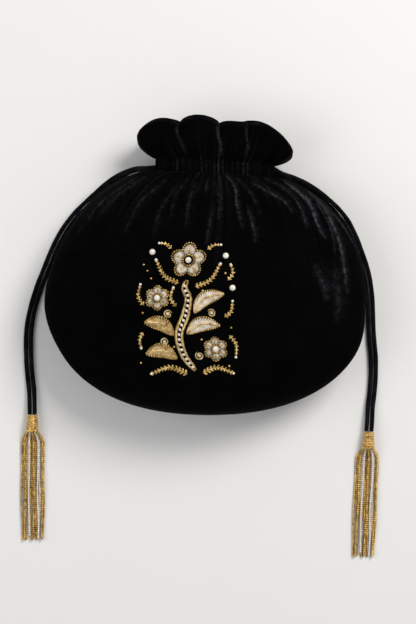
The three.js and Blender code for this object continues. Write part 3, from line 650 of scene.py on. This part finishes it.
def softDents(s, y, seed):  # slow unevenness of a stuffed bag: a few long sine waves
    a = np.sin(7.3 * s + 0.031 * y + seed) * np.sin(0.047 * y - 4.1 * s + 2 * seed)
    b = np.sin(15.1 * s - 0.052 * y + 3 * seed) * np.sin(0.083 * y + 6.7 * s)
    return 0.9 * a + 0.45 * b


velvetGrid = {"across": 300, "lower": 56, "upper": 84, "band": 26, "ruffle": 56, "roll": 9, "inside": 26}


# one velvet panel: outer face from bottom seam to ruffle edge, a rolled edge, then the inside of the ruffle
def panelPiece(name, panel, folds, seed, node):
    g = velvetGrid
    hem = bag["upper"] + bag["band"]  # where the ruffle starts
    across = np.linspace(0, 1, g["across"] + 1)
    rows = [-bag["lower"] * np.cos(np.pi / 2 * np.linspace(0, 1, g["lower"], endpoint=False)),
            bag["upper"] * np.sin(np.pi / 2 * np.linspace(0, 1, g["upper"], endpoint=False)),
            bag["upper"] + bag["band"] * np.linspace(0, 1, g["band"], endpoint=False),
            hem + ruffle["height"] * np.sin(np.pi / 2 * np.linspace(0, 1, g["ruffle"]))]
    y = np.concatenate(rows)[:, None]
    s = across[None] + 0 * y
    y = y + 0 * s
    flat = panelFace(panel, s, y, 0.0)
    inBody = 1 - smoothStep(bag["upper"] - 14, bag["upper"], y)
    inRuffle = smoothStep(hem, hem + 12, y)
    edge = np.sin(np.pi * s)
    pleat, paintedSheen = pleats(s, y, seed)
    # painted highlight on the pleat tops, strongest across the middle of the panel
    paintedSheen = 0.26 * paintedSheen * edge * (0.55 + 0.45 * np.sin(57 * s + seed) * np.sin(21 * s))
    extra = pleat + softDents(s, y, seed) * inBody * np.minimum(1, edge * 2) * smoothStep(-80, -40, y)
    # folds raise the cloth and add their painted highlight
    if folds:
        rise, light = foldRise(folds, flat[..., 0], flat[..., 1])
        extra = extra + rise * (1 - inRuffle)
        paintedSheen = paintedSheen + light * (1 - inRuffle)
    tuck = 1.2 * np.exp(-(((y - hem - 1.5) / 3.0) ** 2))
    slope = 3.4 * np.exp(-(((bag["upper"] - 6 - y) / 6.0) ** 2))
    extra = extra - tuck - slope
    up = np.clip((y - hem) / ruffle["height"], 0, 1)
    # painted highlights: thin bright lines down the ruffle's creases and a lighter band along its top rim
    for valley, strength in zip(panel["valleys"][1:-1], (0.35, 0.55, 0.28)):
        crease = np.exp(-(((s - valley - 0.008 * np.sin(6 * up)) / 0.0055) ** 2))
        paintedSheen = paintedSheen + strength * crease * smoothStep(0.05, 0.3, up) * (1 - smoothStep(0.8, 1, up))
    paintedSheen = paintedSheen + 0.16 * smoothStep(0.9, 1, up) * (0.6 + 0.4 * np.sin(40 * s))
    extra = extra + inRuffle * 0.8 * np.sin(31 * s + 0.2 * y + seed) * np.sin(17 * s - seed)
    if panel["way"] < 0:
        extra = np.minimum(extra, 0.8)
    outer = panelFace(panel, s, y, 0.0, extra)
    behind = ruffle["wall"] * 1.5
    inner = panelFace(panel, s[-1:], y[-1:], behind, extra[-1:])[0]
    turn = np.linspace(0, np.pi, g["roll"] + 2)[1:-1, None, None]
    lift = np.array([0, 1.0, 0]) * ruffle["wall"] * 0.45
    roll = mix(outer[-1], inner, (1 - np.cos(turn)) / 2) + lift * np.sin(turn)
    yIn = mix(hem + ruffle["height"], hem - 4, np.linspace(0, 1, g["inside"]))
    sIn = across[None] + 0 * yIn[:, None]
    yIn = yIn[:, None] + 0 * sIn
    inside = panelFace(panel, sIn, yIn, behind, pleats(sIn, yIn, seed)[0] * 0.5)
    points = np.concatenate([outer, roll, inside])
    faces = gridQuads(points.shape[0], points.shape[1])
    if panel["way"] < 0:
        faces = faces[:, ::-1]
    # painted highlight per point, none on the rolled edge and the inside of the ruffle
    shade = np.zeros(points.shape[:2])
    shade[:len(paintedSheen)] = paintedSheen
    piece = buildPiece(name, [(points, faces, 0, None)], [velvet], weld=0.002, paintedSheen=shade)
    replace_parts(piece, node)
    return piece


frontPiece = panelPiece("velvetFront", frontPanel, frontFolds, 0.7, "front_panel")
backPiece = panelPiece("velvetBack", backPanel, None, 2.1, "back_panel")
print("velvet sewn:", len(frontPiece.data.polygons), len(backPiece.data.polygons))


def clothArea(piece):
    areas = np.zeros(len(piece.data.polygons))
    piece.data.polygons.foreach_get("area", areas)
    return float(areas.sum())


# print each panel's cloth area: the real panels are cut wider than they lie, and gathered to the casing
for piece in (frontPiece, backPiece):
    print(piece.name, "area", round(clothArea(piece), 4))


# satin lining: a bag inside the bag, drawn in at the casing, its mouth sewn inside the ruffle

lining = {"ease": 1.2, "wall": 0.8, "neckWidth": 58.0, "bottom": -76.0, "shoulder": 81.0, "top": 106.83,
          "flat": (0.25, 0.36), "lipRows": 22}


def liningFace(panel, s, y, wall):
    bodyInset = bag["velvet"] + lining["ease"]
    neckInset = bag["velvet"] + cordSizes["thick"] + 3 * bag["gap"]
    topInset = ruffle["wall"] + bag["gap"]
    rising = smoothStep(bag["upper"] * 0.6, bag["upper"] - neckInset, y)
    opening = smoothStep(bag["upper"] + bag["band"], lining["top"], y)
    inset = mix(mix(bodyInset, neckInset, rising), topInset, opening) + wall
    half, thick, cornerShape, up = station(y, panel["depth"], inset)
    half = half - ((bag["neckWidth"] - lining["neckWidth"]) / 2 - neckInset) * rising * (1 - opening)
    crimp = 0.5 * np.sin(2 * np.pi * 19 * s + 3 * np.sin(9 * s)) * smoothStep(40, bag["upper"], y)
    across = np.sin(np.pi * s)
    bulge = np.maximum(thick * across ** cornerShape * (1 - ruffle["valley"] * up) - 0.6 + crimp, 0)
    bulge = bulge * np.minimum(1, across * 8)
    z = np.maximum(seamHeight(y) + panel["way"] * bulge, inset)
    return leaning(-np.maximum(half, 0) * np.cos(np.pi * s), y, z)


s = np.linspace(0, 1, 97)[None]
yBody = np.concatenate([lining["bottom"] * np.cos(np.pi / 2 * np.linspace(0, 1, 24, endpoint=False)),
                        lining["shoulder"] * np.sin(np.pi / 2 * np.linspace(0, 1, 30, endpoint=False)),
                        np.linspace(lining["shoulder"], lining["top"], 20)])
yBody = yBody[:, None] + 0 * s
s = s + 0 * yBody


def liningRing(wall):  # front face, then back face the other way, as one closed ring at each height
    return np.concatenate([liningFace(frontPanel, s, yBody, wall),
                           liningFace(backPanel, s[:, ::-1], yBody, wall)[:, 1:-1]], 1)


ring = np.concatenate([liningRing(lining["wall"]), liningRing(0.0)[::-1][:lining["lipRows"]]])
liningFaces = gridQuads(ring.shape[0], ring.shape[1], True)[:, ::-1]
liningPiece = buildPiece("satinLining", [(ring, liningFaces, 0, None)], [satin], weld=0.002)
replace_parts(liningPiece, "lining")
print("lining area", round(clothArea(liningPiece), 4))


# embroidery: a flowering sprig in gold wire, champagne thread and pearls, couched on the front

goldBeads, wireThread, silkThread, pearlBeads = range(4)  # places in the list of threads
threads = [gold, wire, champagne, pearl]
motif = {"x": -13.2, "y": -7.0, "rise": 1.4, "pearl": 4.2, "wire": 0.6, "seed": 0.68}


def onFront(x, y, rise):  # a spot of the sprig, from its own middle, onto the bulge of the front
    px = motif["x"] + np.asarray(x, float)
    py = motif["y"] + np.asarray(y, float)
    half = station(py, bag["frontCrown"], 0.0)[0]
    s = np.arccos(np.clip(-px / half, -1, 1)) / np.pi
    fine = softDents(s, py, 0.7) * smoothStep(-80, -40, py)
    face = panelFace(frontPanel, s, py, 0.0, fine)
    face[..., 2] += rise + 0.1
    return face


def flatLine(points, step):
    return throughPoints([(a, b, 0) for a, b in points], step)[:, :2]


def sideways(line):  # unit normals of a flat line
    way = unit(np.gradient(line, axis=0))
    return np.stack([-way[:, 1], way[:, 0]], -1)


def seedRow(line, pitch, size, rise):  # small beads along a flat line
    gone = lineGone(line)
    at = np.linspace(pitch / 2, gone[-1] - pitch / 2, max(2, int(gone[-1] / pitch)))
    spots = np.stack([np.interp(at, gone, line[:, k]) for k in (0, 1)], -1)
    centre = onFront(spots[:, 0], spots[:, 1], rise)
    points, faces = beads(centre, np.gradient(centre, axis=0), size, size * 0.85, sides=7, rings=5)
    return points, faces, goldBeads, None


def wireLine(line, radius, rise):  # one wire laid along a flat line, drawn to a point at its ends
    path = onFront(line[:, 0], line[:, 1], rise)
    share = np.linspace(0, 1, len(path))
    points, faces, uv = tubes(path, radius * np.minimum(1, 6 * np.minimum(share, 1 - share) + 0.3), 6)
    return points, faces, wireThread, uv


def roundBeads(spots, size, rise, look):  # beads sewn on singly
    spots = np.asarray(spots, float).reshape(-1, 2)
    centre = onFront(spots[:, 0], spots[:, 1], rise)
    points, faces = beads(centre, (0, 0, 1), size, size, sides=9, rings=7)
    return points, faces, look, None


def slantBeads(line, every, reach, size):  # pairs of long beads slantwise on a stalk, smaller to its tip
    normal, way = sideways(line), unit(np.gradient(line, axis=0))
    picks = np.arange(1, len(line) - 1, every)
    taper = np.linspace(1, 0.65, len(picks))
    parts = []
    for side in (-1, 1):
        aim = unit(way[picks] + side * 1.1 * normal[picks])
        spots = line[picks] + aim * reach * taper[:, None]
        centre = onFront(spots[:, 0], spots[:, 1], 0.75)
        ways = np.pad(aim, ((0, 0), (0, 1)))
        points, faces = beads(centre, ways, 0.5 * size * taper, size * taper, sides=7, rings=6)
        parts.append((points, faces, goldBeads, None))
    return parts


def leafParts(points, width, blunt, colour):  # slanting wires from the midrib to a beaded edge
    line = flatLine(points, 1.45)
    normal = sideways(line)
    share = np.linspace(0, 1, len(line))
    full = np.sin(np.pi * share) ** blunt * width / 2
    parts = []
    t = np.linspace(0, 1, 6)
    for side in (-1, 1):
        starts = np.arange(0, len(line) - 2)
        ends = np.minimum(starts + 3, len(line) - 1)
        rim = (line + side * normal * full[:, None] * 0.84)[ends]
        flat = mix(line[starts][:, None], rim[:, None], t[None, :, None])
        pad = motif["rise"] * (full[starts] / (width / 2))[:, None] * (1 - 0.8 * t[None] ** 2)
        paths = onFront(flat[..., 0], flat[..., 1], pad - 0.2)
        wires, faces, uv = tubes(paths, motif["wire"] * np.array([0.7, 1, 1, 1, 0.9, 0.6]), 6)
        parts.append((wires, faces, colour, uv))
        fine = flatLine(points, 0.5)
        fineFull = np.sin(np.pi * np.linspace(0, 1, len(fine))) ** blunt * width / 2
        edge = fine + side * sideways(fine) * fineFull[:, None] * 0.93
        parts.append(seedRow(edge, 1.55, motif["seed"], 0.5))
    parts.append(wireLine(line, 0.7, motif["rise"] * np.sin(np.pi * share) ** 0.5 + 0.2))
    return parts


def ladderParts(points, width, blunt):  # two wire rails with pearls and slanting rungs between them
    line = flatLine(points, 0.7)
    normal = sideways(line)
    share = np.linspace(0, 1, len(line))
    full = np.sin(np.pi * share) ** blunt * width / 2
    rails = [line + side * normal * full[:, None] * 0.82 for side in (-1, 1)]
    parts = [wireLine(rail, 0.62, 0.6) for rail in rails]
    parts += [seedRow(line + side * normal * full[:, None] * 1.12, 1.6, 0.6, 0.45) for side in (-1, 1)]
    picks = np.arange(4, len(line) - 4, 5)
    parts.append(roundBeads(line[picks], 1.05, 0.95, pearlBeads))
    t = np.linspace(0, 1, 5)[None, :, None]
    flat = mix(rails[0][picks - 2][:, None], rails[1][picks + 2][:, None], t)
    wires, faces, uv = tubes(onFront(flat[..., 0], flat[..., 1], 0.35), 0.4, 6)
    return parts + [(wires, faces, wireThread, uv)]


def sprigParts(points, width):  # a thin stalk with pairs of long beads and a round one at its tip
    line = flatLine(points, 0.8)
    parts = [wireLine(line, 0.5, 0.5)]
    parts += slantBeads(line, 3, 0.32 * width, 0.3 * width)
    parts.append(roundBeads(line[-1:], 0.95, 0.9, pearlBeads))
    return parts


def flowerParts(x, y, size, petals, depth):  # silk petals edged with beads, round a beaded eye
    reach = size / 2
    parts = []
    count = int(round(petals * size * 0.36))
    around = (np.arange(count * petals) + 0.5) * 2 * np.pi / (count * petals)
    swell = np.abs(np.cos(petals * around / 2))
    t = np.linspace(0, 1, 6)
    radius = mix(0.36 * reach, 0.86 * reach * (1 - depth * (1 - swell))[:, None], t[None])
    pad = motif["rise"] * (0.35 + 0.65 * np.sin(np.pi * t) ** 0.6)[None] * swell[:, None] ** 0.4
    paths = onFront(x + radius * np.sin(around)[:, None], y + radius * np.cos(around)[:, None], pad * 0.9)
    thick = 0.46 * (2 * np.pi * 0.7 * reach / len(around)) * (0.35 + 0.65 * swell[:, None])
    wires, faces, uv = tubes(paths, thick * np.array([0.6, 0.9, 1, 1.1, 1.1, 0.6])[None], 6)
    parts.append((wires, faces, silkThread, uv))
    fine = np.linspace(0, 2 * np.pi, 60 * petals)
    edge = 0.95 * reach * (1 - depth * (1 - np.abs(np.cos(petals * fine / 2))))
    rim = np.stack([x + edge * np.sin(fine), y + edge * np.cos(fine)], -1)
    parts.append(seedRow(rim, 1.6, motif["seed"], 0.5))
    ring = np.linspace(0, 2 * np.pi, 80)
    eye = np.stack([x + 0.3 * reach * np.sin(ring), y + 0.3 * reach * np.cos(ring)], -1)
    parts.append(seedRow(eye, 1.5, 0.72, motif["rise"] * 0.75))
    veins = (np.arange(petals) * 2 * np.pi / petals)[:, None]
    far = mix(0.4, 0.78, np.linspace(0, 1, 5))[None] * reach
    paths = onFront(x + far * np.sin(veins), y + far * np.cos(veins), motif["rise"] * 0.95 + 0.25)
    wires, faces, uv = tubes(paths, 0.5, 6)
    return parts + [(wires, faces, wireThread, uv)]


def curlParts(x, y, size, start, way):  # a coiled wire: radius falls evenly with the angle, to a bead
    turn = np.linspace(0, 1, 40)
    angle = start + way * turn * 3.4 * np.pi
    radius = size * (1 - 0.82 * turn)
    line = np.stack([x + radius * np.cos(angle), y + radius * np.sin(angle)], -1)
    return [wireLine(line, 0.5, 0.5), roundBeads([(x, y)], 0.85, 0.8, pearlBeads)]


def pearlPiece(name, x, y, size, rise):
    centre = onFront(np.array([x]), np.array([y]), rise + size / 2)
    points, faces = beads(centre, (0, 0, 1), size / 2, size / 2, sides=20, rings=14)
    return buildPiece(name, [(points, faces, 0, None)], [pearl])


stem = {"width": 4.6, "blunt": 0.3}
leaf = {"width": 10.0, "blunt": 0.8}
sprayWidth = 3.6
stemLine = [(4, -41), (-4, -30), (-6, -17), (0, -3), (2, 8), (-1, 15), (0.5, 20)]
leaves = [
    ([(-9.5, -17), (-17, -9.5), (-28.5, -8.5)], wireThread), ([(6, -2), (13, 7.5), (26, 11)], silkThread),
    ([(-8.5, -33), (-18, -27.5), (-29.5, -30)], wireThread),
    ([(-0.5, -16), (10, -9.5), (22.5, -10.5)], silkThread)]
sprigs = [
    ([(-5, 18), (-15, 22.5), (-22, 33.5)], 4.2), ([(6, 15.5), (16.5, 20.5), (22, 31.5)], 4.2),
    ([(-1, -43.5), (-13, -39), (-26, -43.5)], 4.8), ([(9, -43), (18.5, -39), (30, -43)], 4.8)]
# name, middle, width, number of petals and depth between them
flowers = [("bloom", 0, 33.5, 25, 5, 0.34), ("left_rosette", -19, 8, 17, 6, 0.26),
           ("right_rosette", 18, -26.5, 17, 6, 0.26)]
loosePearls = [(-25, 38.5), (25, 37), (31.5, 15)]
# finer trim between the main forms: beaded sprays, curls and single beads
sprays = [
    [(-6, 2), (-10, 8), (-8.5, 15)], [(-28, 3), (-32, 9), (-31, 17)], [(28, 20), (31, 25), (29, 31)],
    [(26, -5), (31, -1), (32, 6)], [(28, -17), (32, -23), (31.5, -32)],
    [(-30, -15), (-33, -20), (-32.5, -26)], [(-12, 41), (-16, 44), (-21, 44.5)],
    [(12, 41), (16, 44), (21, 44.5)]]
# middle, size, starting angle and way round
curls = [(-12, -3, 3.0, 0.3, 1), (17.5, -2.2, 2.8, 2.6, -1), (-16, -21.5, 3.0, 5.2, -1),
         (7, -31, 3.0, 2.0, 1)]
strewn = [(-27, 26), (-24, 21), (27, -38), (-33, -36), (-4, 24), (5, 24), (-11, 20.5), (11.5, 13), (30, -12),
          (-29, -2), (-10, -25), (9, -20), (-30, 30), (26, 25)]

stemParts = ladderParts(stemLine, stem["width"], stem["blunt"])
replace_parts(buildPiece("stemLadder", stemParts, threads), "stem")
for k, (points, colour) in enumerate(leaves):
    slotName = "champagne_thread" if colour == silkThread else "gold_thread"
    parts = leafParts(points, leaf["width"], leaf["blunt"], colour)
    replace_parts(buildPiece(f"leafWork{k + 1}", parts, threads), f"leaf_{k + 1}")
for k, (points, width) in enumerate(sprigs):
    piece = buildPiece(f"berrySprig{k + 1}", sprigParts(points, width), threads)
    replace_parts(piece, f"sprig_{k + 1}")
for name, x, y, size, petals, depth in flowers:
    label = name.replace("_", "")
    parts = flowerParts(x, y, size, petals, depth)
    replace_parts(buildPiece(label + "Petals", parts, threads), name)
    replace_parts(pearlPiece(label + "Eye", x, y, motif["pearl"], motif["rise"] + 0.3), name + "_pearl")
for k, (x, y) in enumerate(loosePearls):
    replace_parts(pearlPiece(f"loosePearl{k + 1}", x, y, motif["pearl"], 0.0), f"pearl_{k + 1}")
trim = [part for points in sprays for part in sprigParts(points, sprayWidth)]
trim += [part for curl in curls for part in curlParts(*curl)]
trim.append(roundBeads(strewn, 0.85, 0.75, goldBeads))
buildPiece("fineTrim", trim, threads)
print("embroidery couched")


# floor and light

studio = {"floor": (0.78, 0.765, 0.745), "half": 4.0, "below": -0.0004, "world": (0.95, 0.97, 1.0),
          "worldPower": 0.42, "keyPower": 20.0, "fillPower": 6.0}
floorMesh = bpy.data.meshes.new("floor")
square = ((-1, -1), (1, -1), (1, 1), (-1, 1))
corners = [(a * studio["half"], b * studio["half"], studio["below"]) for a, b in square]
floorMesh.from_pydata(corners, [], [(0, 1, 2, 3)])
floor = bpy.data.objects.new("floor", floorMesh)
scene.collection.objects.link(floor)
floorMaterial, add, tree, shader = newMaterial("paleFloor")
grain = noise(add, add("ShaderNodeTexCoord").outputs["Object"], 30.0)
tint = add("ShaderNodeMix", {"Factor": grain}, data_type="RGBA")
tint.inputs[6].default_value = (*[c * 0.985 for c in studio["floor"]], 1)
tint.inputs[7].default_value = (*studio["floor"], 1)
tree.links.new(tint.outputs[2], shader.inputs["Base Color"])
shader.inputs["Roughness"].default_value = 0.9
shader.inputs["Specular IOR Level"].default_value = 0.2
floorMesh.materials.append(floorMaterial)

world = bpy.data.worlds.new("studio")
scene.world = world
world.use_nodes = True
world.node_tree.nodes["Background"].inputs["Color"].default_value = (*studio["world"], 1)
world.node_tree.nodes["Background"].inputs["Strength"].default_value = studio["worldPower"]


def lamp(name, place, size, power, tone):
    data = bpy.data.lights.new(name, "AREA")
    data.shape = "RECTANGLE"
    data.size, data.size_y = size
    data.energy = power
    data.color = tone
    light = bpy.data.objects.new(name, data)
    light.location = place
    aim = np.array(place) / np.linalg.norm(place)
    light.rotation_euler = (math.acos(aim[2]), 0, math.atan2(aim[1], aim[0]) + math.pi / 2)
    scene.collection.objects.link(light)


lamp("keyLight", (0.75, 0.75, 1.25), (0.7, 0.7), studio["keyPower"], (1, 0.985, 0.96))
lamp("fillLight", (-0.95, -0.1, 1.1), (0.9, 0.9), studio["fillPower"], (0.97, 0.98, 1))
scene.view_settings.view_transform = "Standard"
print("floor and lights set")
